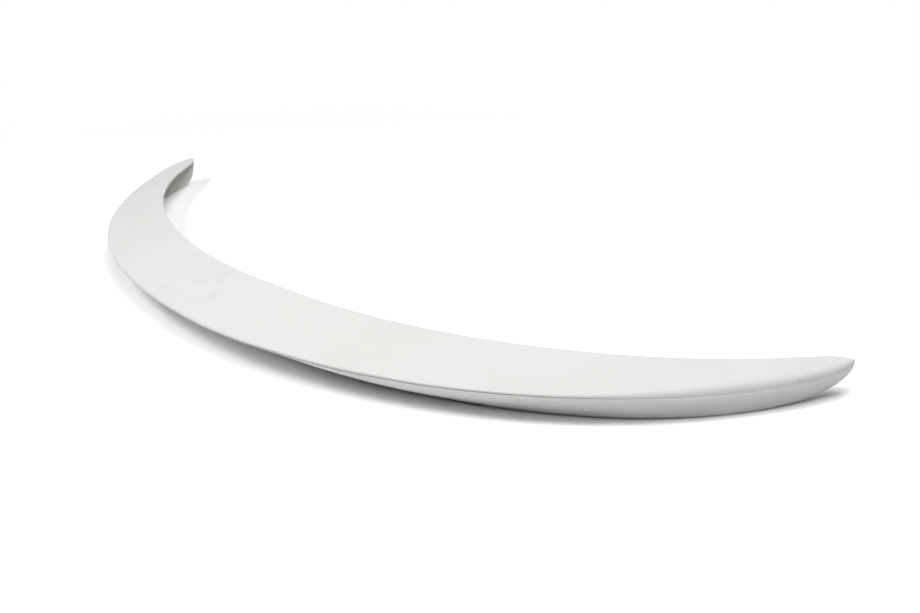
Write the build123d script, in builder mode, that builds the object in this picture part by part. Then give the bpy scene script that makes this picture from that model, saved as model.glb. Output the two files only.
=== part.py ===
"""Boot-lid lip spoiler: one moulded laminate shell, open at the front and underneath.

Two guide curves are drawn in plan, the rear lip and the leading edge. Upright sections stand
between them like ribs, from tip to tip, and the skin is lofted through them. A second loft,
one laminate thickness inside, takes out the hollow that seats over the edge of the boot lid.
Millimetres, +Z up, the lip towards -Y, the tips towards +Y, standing on the foot of the wall.
"""

import os
from math import radians, sin, sqrt

from build123d import *

# Plan
half_span = 600.0  # centre line to tip
plan_depth = 427.0  # lip at the centre to the tips, front to rear
chord = 107.0  # lip to leading edge at the centre
lip_pulls = ((0.32, 0.0), (0.78, 0.21), (0.77, 0.45), (1.02, 0.81))  # control points between the ends
lead_pulls = ((0.22, 0.0), (0.52, 0.0), (0.92, 0.54), (0.91, 0.99))  # as shares of span and depth

# Section (a row of values is a law from the centre to the tip, with the values as Bezier pulls)
lip_height = 39.0  # lip above the foot of the wall
lead_rise = 23.0  # leading edge above the lip at the centre
rise_fade = 3.0  # how late the leading edge comes down to the tip
crown = 1.5  # bulge of the skin between lip and leading edge
lip_blends = (2.0, -2.0, 19.0, -32.0, 38.0, 6.0)  # height of the lip's rounding
lip_grooves = (1.8, 2.2, 2.0, -0.5, 0.15)  # width and depth of the fine groove under the lip
wall_setback = 0.25  # how far the wall stands in from the lip, share of the groove
foot_places = (0.66, 0.66, 0.30, 0.91, -0.62, 0.79)  # foot of the wall, as a share of the chord
bow_power = 26.0  # how late the foot sweeps up to the tip
wall_swells = (-4.0, -2.0, 45.0, -46.0, 4.0, 0.0)  # pull of the wall outwards, hollow below nought
swell_place = 0.3  # where down the wall that pull stands
laminate = 3.0
corner_fill = 0.45  # resin left in the corner behind the lip, share of the lip's rounding
lead_ease = 1.2  # chamfer along the trimmed leading edge
foot_ease = 2.0  # chamfer along the foot
fade_room = 0.1  # share of the skin's length that crown and chamfer keep within, so they run out at the tips

# Loft
station_count = 16  # sections from the centre to the tip
hollow_stations = station_count - 1  # how many of them the hollow passes through
last_station = 86.0  # sections stand closer towards the tip, as the sine of an angle up to this
front_share = 0.3  # depth of the blank's front edge and width of its foot, share of the opening
overcut = 15.0  # how far the hollow runs past the blank

tip_y = plan_depth / 2
lip_y = -plan_depth / 2
lead_y = lip_y + chord


def guide_points(start_y, pulls):
    """Control points of a half guide curve, from the centre line to the tip."""
    inner = [(x * half_span, start_y + y * (tip_y - start_y)) for x, y in pulls]
    return [(0, start_y), *inner, (half_span, tip_y)]


with BuildLine() as guides:
    lip_guide = Bezier(*guide_points(lip_y, lip_pulls))
    lead_guide = Bezier(*guide_points(lead_y, lead_pulls))


def limited(size, room):
    """A size that holds where there is room and shrinks smoothly where there isn't."""
    return size * room / (room + size)


def blended(pulls, share):
    """Value of a Bezier law at a share of the way from the centre to the tip."""
    while len(pulls) > 1:
        pulls = [a + (b - a) * share for a, b in zip(pulls, pulls[1:])]
    return pulls[0]


def toward(start, end, distance):
    return start + (end - start).normalized() * distance


def crossing(first, along_first, second, along_second):
    """Where two lines meet, each given by a point and a direction."""
    between = (second - first).cross(along_second).Z
    return first + along_first * between / along_first.cross(along_second).Z


class Station:
    """One upright section, from the lip (local x = 0) forward to the leading edge."""

    def __init__(self, index):
        share = sin(radians(last_station * abs(index) / station_count))
        side = -1 if index < 0 else 1
        lip = lip_guide @ share
        lead = lead_guide @ share
        reach = lead - lip
        across = Vector(side * reach.X, reach.Y).normalized()
        self.plane = Plane((side * lip.X, lip.Y, 0), x_dir=across, z_dir=across.cross(Vector(0, 0, 1)))

        foot_height = lip_height * (1 - sqrt(1 - share**bow_power))
        lead_height = lip_height + lead_rise * (1 - min(1.0, lead.X / half_span) ** rise_fade)

        self.lip = Vector(0, lip_height)
        self.lead = Vector(reach.length, lead_height)
        self.foot = Vector(reach.length * blended(foot_places, share), foot_height)
        self.skin = self.lead - self.lip
        room = limited(self.skin.length, lip_height - foot_height)
        self.nose = limited(blended(lip_blends, share), room)
        self.under_lip = self.lip - Vector(0, self.nose)
        groove = blended(lip_grooves, share)
        self.groove_end = self.under_lip + Vector(groove, -groove / 2)
        self.wall_top = self.under_lip + Vector(groove * wall_setback, -groove)
        self.wall = self.foot - self.wall_top
        self.fade = self.skin.length * fade_room
        skin_up = self.skin.rotate(Axis.Z, 90).normalized()
        wall_in = self.wall.rotate(Axis.Z, 90).normalized()
        bulge = skin_up * limited(crown, self.fade)
        self.skin_middle = self.lip + self.skin / 2 + bulge * 2  # a middle pull stands twice the bulge off
        self.wall_middle = self.wall_top + self.wall * swell_place - wall_in * blended(wall_swells, share)

    def draw_blank(self):
        """Outline of the section before it is hollowed."""
        over_lip = toward(self.lip, self.skin_middle, self.nose)
        lead_cut = limited(lead_ease, self.fade)
        before_edge = toward(self.lead, self.skin_middle, lead_cut)
        below_edge = self.lead - Vector(0, lead_cut)
        opening = self.lead - self.foot
        front = self.lead - Vector(0, opening.Y * front_share)
        heel = self.foot + Vector(opening.X * front_share, 0)
        foot_cut = limited(foot_ease, (heel - self.foot).length / 2)
        above_foot = toward(self.foot, self.wall_middle, foot_cut)
        in_foot = self.foot + Vector(foot_cut, 0)
        Bezier(above_foot, self.wall_middle, self.wall_top)
        Polyline(self.wall_top, self.groove_end, self.under_lip)
        TangentArc(self.under_lip, over_lip, tangent=(0, 1))
        Bezier(over_lip, self.skin_middle, before_edge)
        Polyline(before_edge, below_edge, front, heel, in_foot, above_foot)

    def draw_hollow(self):
        """Outline of the hollow: the inner faces of skin and wall, run past the open front."""
        skin_in = self.skin.rotate(Axis.Z, -90).normalized() * laminate
        wall_in = self.wall.rotate(Axis.Z, 90).normalized() * laminate
        corner = crossing(self.lip + skin_in, self.skin, self.wall_top + wall_in, self.wall)
        lead = self.lead + skin_in
        foot = self.foot + wall_in
        past_lead = toward(lead, self.skin_middle + skin_in, -overcut)
        past_foot = toward(foot, self.wall_middle + wall_in, -overcut)
        off_wall = toward(corner, foot, self.nose * corner_fill)
        off_skin = toward(corner, lead, self.nose * corner_fill)
        Bezier(foot, self.wall_middle + wall_in, off_wall)
        Line(off_wall, off_skin)
        Bezier(off_skin, self.skin_middle + skin_in, lead)
        Polyline(lead, past_lead, Vector(past_lead.X, past_foot.Y), past_foot, foot)


with BuildPart() as spoiler:
    blanks = []
    for index in range(-station_count, station_count + 1):
        station = Station(index)
        with BuildSketch(station.plane, mode=Mode.PRIVATE) as blank:
            with BuildLine():
                station.draw_blank()
            make_face()
        blanks.append(blank.sketch)
    loft(blanks)

    hollows = []
    for index in range(-hollow_stations, hollow_stations + 1):
        station = Station(index)
        with BuildSketch(station.plane, mode=Mode.PRIVATE) as hollow:
            with BuildLine():
                station.draw_hollow()
            make_face()
        hollows.append(hollow.sketch)
    loft(hollows, mode=Mode.SUBTRACT)

spoiler.part.label = "spoiler_shell"
os.makedirs("parts", exist_ok=True)
export_step(spoiler.part, "parts/spoiler_shell.step")
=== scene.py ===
import math

import bpy
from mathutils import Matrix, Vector

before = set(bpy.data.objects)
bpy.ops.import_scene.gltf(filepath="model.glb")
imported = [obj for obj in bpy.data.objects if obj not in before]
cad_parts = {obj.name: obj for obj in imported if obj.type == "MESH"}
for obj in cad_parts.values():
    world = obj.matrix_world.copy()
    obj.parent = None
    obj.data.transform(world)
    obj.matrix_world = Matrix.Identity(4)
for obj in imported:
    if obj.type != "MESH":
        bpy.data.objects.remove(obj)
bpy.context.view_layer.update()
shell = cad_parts["spoiler_shell"]
print("frame loaded:", ", ".join(sorted(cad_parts)))

scene = bpy.context.scene
scene.view_settings.view_transform = "Standard"


def newMaterial(name):
    material = bpy.data.materials.new(name)
    material.use_nodes = True
    tree = material.node_tree
    tree.nodes.clear()
    output = tree.nodes.new("ShaderNodeOutputMaterial")
    return material, tree, output


gelcoat = {  # a noise is its scale and detail, a span is where a blend starts and ends
    "colour": (0.80, 0.80, 0.785, 1),
    "cloudColour": (0.775, 0.775, 0.757, 1),  # thin places in the coat, seen as faint clouds
    "cloudNoise": (7.0, 4.0),
    "cloudSpan": (0.42, 0.72),
    "smudgeColour": (0.66, 0.66, 0.645, 1),
    "smudgeNoise": (48.0, 5.0),
    "smudgeSpan": (0.40, 0.65),
    "smudges": [  # place, radius, strength
        ((-0.130, -0.140, 0.053), 0.100, 0.22),
        ((-0.060, -0.165, 0.050), 0.070, 0.18),
        ((0.173, -0.109, 0.057), 0.035, 0.20),
        ((0.586, 0.158, 0.039), 0.050, 0.22),
    ],
    "speckColour": (0.20, 0.20, 0.19, 1),
    "specks": [
        ((0.4142, -0.0084, 0.0500), 0.0016, 0.55),
        ((0.5767, 0.1312, 0.0345), 0.0030, 0.28),
    ],
    "footPatchColour": (0.60, 0.595, 0.575, 1),  # darker in patches along the foot
    "footPatchNoise": (90.0, 6.0),
    "footPatchSpan": (0.45, 0.60),
    "footPatchHeight": 0.004,
    "footPatchStrength": 0.8,
    "bayMiddle": (0.0, 0.25, 0.02),  # the bay between the two swept arms
    "insideSpan": (-0.45, -0.75),  # how far down, or in to the bay, a face looks before it counts as inside
    "outsideSpan": (0.35, 0.15),  # the wall's outer face looks down too, but away from the bay
    "wallSpan": (0.0375, 0.0365),  # the inner face of the wall ends under the skin
    "resinColour": (0.72, 0.72, 0.69, 1),  # laminate on the inside
    "fibreNoise": (190.0, 8.0),
    "fibreSpan": (0.30, 0.70, 0.55, 1.0),
    "fibreHeight": 0.0005,
    "cornerShadeColour": (0.46, 0.46, 0.43, 1),  # painted shade: darker grey where the skin shades the inside corner
    "cornerShadeSpan": (0.027, 0.036),  # height above which the painted corner shade is full
    "cornerShadePatchNoise": (55.0, 8.0),  # noise that breaks the painted corner shade into patches
    "cornerShadePatchSpan": (0.38, 0.62, 0.35, 1.0),
    "peelNoise": (330.0, 2.0),  # orange peel of the sprayed coat
    "peelHeight": 0.00005,
    "glossNoise": (24.0, 3.0),  # patches of higher and lower gloss
    "glossSpan": (0.3, 0.7, 0.48, 0.62),  # its last two are the roughness
    "specular": 0.2,  # a dull satin, nearer to primer than to paint
}


def addNoise(tree, place, scale, detail):
    node = tree.nodes.new("ShaderNodeTexNoise")
    node.inputs["Scale"].default_value = scale
    node.inputs["Detail"].default_value = detail
    tree.links.new(place, node.inputs["Vector"])
    return node.outputs["Fac"]


def addRange(tree, value, start, end, atStart=0.0, atEnd=1.0):
    node = tree.nodes.new("ShaderNodeMapRange")
    node.interpolation_type = "SMOOTHSTEP"
    node.inputs["From Min"].default_value = start
    node.inputs["From Max"].default_value = end
    node.inputs["To Min"].default_value = atStart
    node.inputs["To Max"].default_value = atEnd
    tree.links.new(value, node.inputs["Value"])
    return node.outputs["Result"]


def addMath(tree, operation, first, second):
    node = tree.nodes.new("ShaderNodeMath")
    node.operation = operation
    tree.links.new(first, node.inputs[0])
    tree.links.new(second, node.inputs[1])
    return node.outputs["Value"]


def addProduct(tree, first, second):
    return addMath(tree, "MULTIPLY", first, second)


def addTurn(tree, place, normal, middle):
    # one where a face looks straight away from the middle, minus one where it looks at it
    reach = tree.nodes.new("ShaderNodeVectorMath")
    reach.operation = "SUBTRACT"
    tree.links.new(place, reach.inputs[0])
    reach.inputs[1].default_value = middle
    outward = tree.nodes.new("ShaderNodeVectorMath")
    outward.operation = "NORMALIZE"
    tree.links.new(reach.outputs["Vector"], outward.inputs[0])
    turn = tree.nodes.new("ShaderNodeVectorMath")
    turn.operation = "DOT_PRODUCT"
    tree.links.new(outward.outputs["Vector"], turn.inputs[0])
    tree.links.new(normal, turn.inputs[1])
    return turn.outputs["Value"]


def addDistance(tree, place, spot):
    node = tree.nodes.new("ShaderNodeVectorMath")
    node.operation = "DISTANCE"
    node.inputs[1].default_value = spot
    tree.links.new(place, node.inputs[0])
    return node.outputs["Value"]


def addSpot(tree, place, spot, radius, strength):
    return addRange(tree, addDistance(tree, place, spot), 0.0, radius, strength, 0.0)


def addTint(tree, below, colour, amount):
    node = tree.nodes.new("ShaderNodeMix")
    node.data_type = "RGBA"
    tree.links.new(amount, node.inputs[0])
    if isinstance(below, tuple):
        node.inputs[6].default_value = below
    else:
        tree.links.new(below, node.inputs[6])
    node.inputs[7].default_value = colour
    return node.outputs[2]


def addBump(tree, height, distance, below=None):
    node = tree.nodes.new("ShaderNodeBump")
    node.inputs["Distance"].default_value = distance
    tree.links.new(height, node.inputs["Height"])
    if below:
        tree.links.new(below, node.inputs["Normal"])
    return node.outputs["Normal"]


def gelcoatMaterial():
    material, tree, output = newMaterial("satinGelcoat")
    coords = tree.nodes.new("ShaderNodeTexCoord")
    place = coords.outputs["Object"]
    facing = tree.nodes.new("ShaderNodeSeparateXYZ")
    tree.links.new(coords.outputs["Normal"], facing.inputs[0])
    height = tree.nodes.new("ShaderNodeSeparateXYZ")
    tree.links.new(place, height.inputs[0])

    clouds = addRange(tree, addNoise(tree, place, *gelcoat["cloudNoise"]), *gelcoat["cloudSpan"])
    colour = addTint(tree, gelcoat["colour"], gelcoat["cloudColour"], clouds)
    patches = addRange(tree, addNoise(tree, place, *gelcoat["smudgeNoise"]), *gelcoat["smudgeSpan"])
    for mark in gelcoat["smudges"]:
        amount = addProduct(tree, addSpot(tree, place, *mark), patches)
        colour = addTint(tree, colour, gelcoat["smudgeColour"], amount)
    for mark in gelcoat["specks"]:
        colour = addTint(tree, colour, gelcoat["speckColour"], addSpot(tree, place, *mark))

    # darker in noisy patches low on the wall, fading out a few millimetres above the floor
    low = addRange(tree, height.outputs["Z"], 0.0, gelcoat["footPatchHeight"], gelcoat["footPatchStrength"], 0.0)
    footPatches = addRange(tree, addNoise(tree, place, *gelcoat["footPatchNoise"]), *gelcoat["footPatchSpan"])
    colour = addTint(tree, colour, gelcoat["footPatchColour"], addProduct(tree, low, footPatches))

    # the moulded side is smooth, the inside shows resin and chopped fibre
    turn = addTurn(tree, place, coords.outputs["Normal"], gelcoat["bayMiddle"])
    under = addProduct(tree, addRange(tree, facing.outputs["Z"], *gelcoat["insideSpan"]),
                       addRange(tree, turn, *gelcoat["outsideSpan"]))
    behind = addProduct(tree, addRange(tree, turn, *gelcoat["insideSpan"]),
                        addRange(tree, height.outputs["Z"], *gelcoat["wallSpan"]))
    inside = addMath(tree, "MAXIMUM", under, behind)
    fibre = addNoise(tree, place, *gelcoat["fibreNoise"])
    resin = addProduct(tree, inside, addRange(tree, fibre, *gelcoat["fibreSpan"]))
    colour = addTint(tree, colour, gelcoat["resinColour"], resin)
    # painted shade: the skin's underside and the top of the inner wall are tinted darker, in patches
    shadePatches = addRange(tree, addNoise(tree, place, *gelcoat["cornerShadePatchNoise"]), *gelcoat["cornerShadePatchSpan"])
    shadeInCorner = addProduct(tree, addRange(tree, height.outputs["Z"], *gelcoat["cornerShadeSpan"]), shadePatches)
    colour = addTint(tree, colour, gelcoat["cornerShadeColour"], addProduct(tree, resin, shadeInCorner))

    peel = addBump(tree, addNoise(tree, place, *gelcoat["peelNoise"]), gelcoat["peelHeight"])
    normal = addBump(tree, addProduct(tree, inside, fibre), gelcoat["fibreHeight"], peel)
    gloss = addRange(tree, addNoise(tree, place, *gelcoat["glossNoise"]), *gelcoat["glossSpan"])
    shader = tree.nodes.new("ShaderNodeBsdfPrincipled")
    shader.inputs["Specular IOR Level"].default_value = gelcoat["specular"]
    tree.links.new(colour, shader.inputs["Base Color"])
    tree.links.new(gloss, shader.inputs["Roughness"])
    tree.links.new(normal, shader.inputs["Normal"])
    tree.links.new(shader.outputs["BSDF"], output.inputs["Surface"])
    return material


shell.data.materials.clear()
shell.data.materials.append(gelcoatMaterial())
print("gelcoat on the shell")


floorSetup = {
    "size": 30.0,
    "drop": 0.0003,  # just under the foot of the wall
    "colour": (0.9, 0.9, 0.9, 1),  # what the object sees
    "seenColour": (1.35, 1.35, 1.35, 1),  # what the camera sees, white where nothing shades it
    "middle": (0, 0, 0),
    "whiteSpan": (0.75, 1.1),  # metres from the middle over which the floor turns into the white backdrop
}


def addSeen(tree):
    # one for what the camera sees, straight or in a gloss, nought for the light that falls on the object
    path = tree.nodes.new("ShaderNodeLightPath")
    seen = path.outputs["Is Camera Ray"]
    for name in ("Is Glossy Ray", "Is Transmission Ray"):
        seen = addMath(tree, "MAXIMUM", seen, path.outputs[name])
    return seen


def addBlend(tree, amount, first, second):
    node = tree.nodes.new("ShaderNodeMixShader")
    tree.links.new(amount, node.inputs["Fac"])
    tree.links.new(first, node.inputs[1])
    tree.links.new(second, node.inputs[2])
    return node.outputs["Shader"]


def floorMaterial():
    material, tree, output = newMaterial("paleFloor")
    plain = tree.nodes.new("ShaderNodeBsdfDiffuse")
    plain.inputs["Color"].default_value = floorSetup["colour"]
    bright = tree.nodes.new("ShaderNodeBsdfDiffuse")
    bright.inputs["Color"].default_value = floorSetup["seenColour"]
    white = tree.nodes.new("ShaderNodeEmission")  # white at strength one as it comes
    coords = tree.nodes.new("ShaderNodeTexCoord")
    distance = addDistance(tree, coords.outputs["Object"], floorSetup["middle"])
    away = addRange(tree, distance, *floorSetup["whiteSpan"])
    backdrop = addBlend(tree, away, bright.outputs["BSDF"], white.outputs["Emission"])
    surface = addBlend(tree, addSeen(tree), plain.outputs["BSDF"], backdrop)
    tree.links.new(surface, output.inputs["Surface"])
    return material


bpy.ops.object.select_all(action="DESELECT")
bpy.ops.mesh.primitive_plane_add(size=floorSetup["size"], location=(0, 0, -floorSetup["drop"]))
floor = bpy.context.active_object
floor.name = "studioFloor"
floor.data.materials.append(floorMaterial())
print("floor laid")


def towards(azimuth, elevation):
    # nought looks from the rear of the part, a quarter turn from its right
    azimuth, elevation = math.radians(azimuth), math.radians(elevation)
    level = math.cos(elevation)
    return Vector((math.sin(azimuth) * level, -math.cos(azimuth) * level, math.sin(elevation)))


studio = {
    "around": (0.1, 0, 0),  # what the lamps stand around, and how far off
    "away": 2.8,
    "aim": (0.1, 0.0, 0.03),
    "lamps": [  # name, azimuth, elevation, width, height, power in watts
        ("keyLow", 325, 36, 0.6, 0.6, 6.0),
        ("keyHigh", 335, 52, 0.8, 0.8, 25.5),
        ("fillRight", 50, 70, 1.4, 1.4, 21.0),
        ("back", 170, 66, 1.4, 1.4, 18.0),
        ("overhead", 105, 70, 1.8, 1.8, 25.5),
    ],
}


def lightStudio():
    world = bpy.data.worlds.new("studioWhite")
    scene.world = world
    world.use_nodes = True
    tree = world.node_tree
    tree.nodes.clear()
    output = tree.nodes.new("ShaderNodeOutputWorld")
    white = tree.nodes.new("ShaderNodeBackground")
    white.inputs["Color"].default_value = (1, 1, 1, 1)
    tree.links.new(addSeen(tree), white.inputs["Strength"])
    tree.links.new(white.outputs["Background"], output.inputs["Surface"])
    aim = Vector(studio["aim"])
    for name, azimuth, elevation, width, height, power in studio["lamps"]:
        lamp = bpy.data.lights.new(name, "AREA")
        lamp.shape = "RECTANGLE"
        lamp.size, lamp.size_y = width, height
        lamp.energy = power
        holder = bpy.data.objects.new(name, lamp)
        holder.location = Vector(studio["around"]) + towards(azimuth, elevation) * studio["away"]
        holder.rotation_euler = (aim - holder.location).to_track_quat("-Z", "Y").to_euler()
        scene.collection.objects.link(holder)


lightStudio()
print("studio lit")


view = {
    "azimuth": 42.08,
    "elevation": 22.49,
    "distance": 1.72428,
    "target": (0.1144, 0.09198, 0.00589),
    "lens": 52.363,
    "sensor": 36.0,
}


def placeCamera():
    outward = towards(view["azimuth"], view["elevation"])
    data = bpy.data.cameras.new("photoView")
    data.lens = view["lens"]
    data.sensor_width = view["sensor"]
    camera = bpy.data.objects.new("photoView", data)
    camera.location = Vector(view["target"]) + outward * view["distance"]
    camera.rotation_euler = (-outward).to_track_quat("-Z", "Y").to_euler()
    scene.collection.objects.link(camera)
    scene.camera = camera


placeCamera()
print("camera set")
